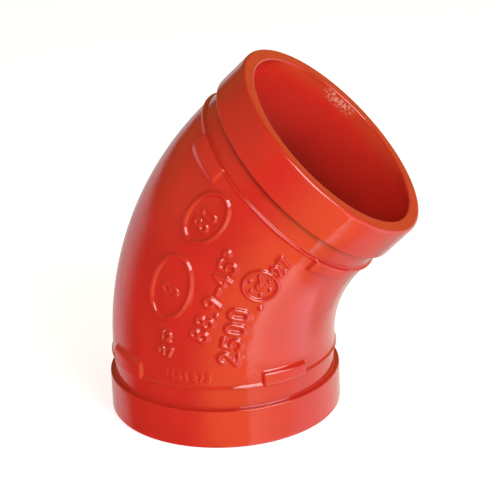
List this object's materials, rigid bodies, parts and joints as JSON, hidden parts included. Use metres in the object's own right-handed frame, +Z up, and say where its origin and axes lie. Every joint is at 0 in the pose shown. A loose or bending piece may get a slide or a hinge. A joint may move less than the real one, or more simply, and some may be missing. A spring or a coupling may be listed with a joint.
{
  "type": "grooved pipe elbow",
  "caption": "One-piece cast pipe elbow, 45 degrees, with a grooved end for a clamp coupling on each leg, coated inside and out with glossy red enamel.",
  "frame": {"origin": "centre of the lower end face", "axes": "+Z up the lower leg, away from its end face; the bend turns towards +X in the XZ plane; the raised marks face -Y"},
  "size_m": [0.1206, 0.0888, 0.1402],
  "materials": {
    "red_enamel": "glossy orange-red enamel over a cast surface"
  },
  "bodies": {
    "root": {"elbow_casting": "red_enamel"}
  },
  "joints": []
}
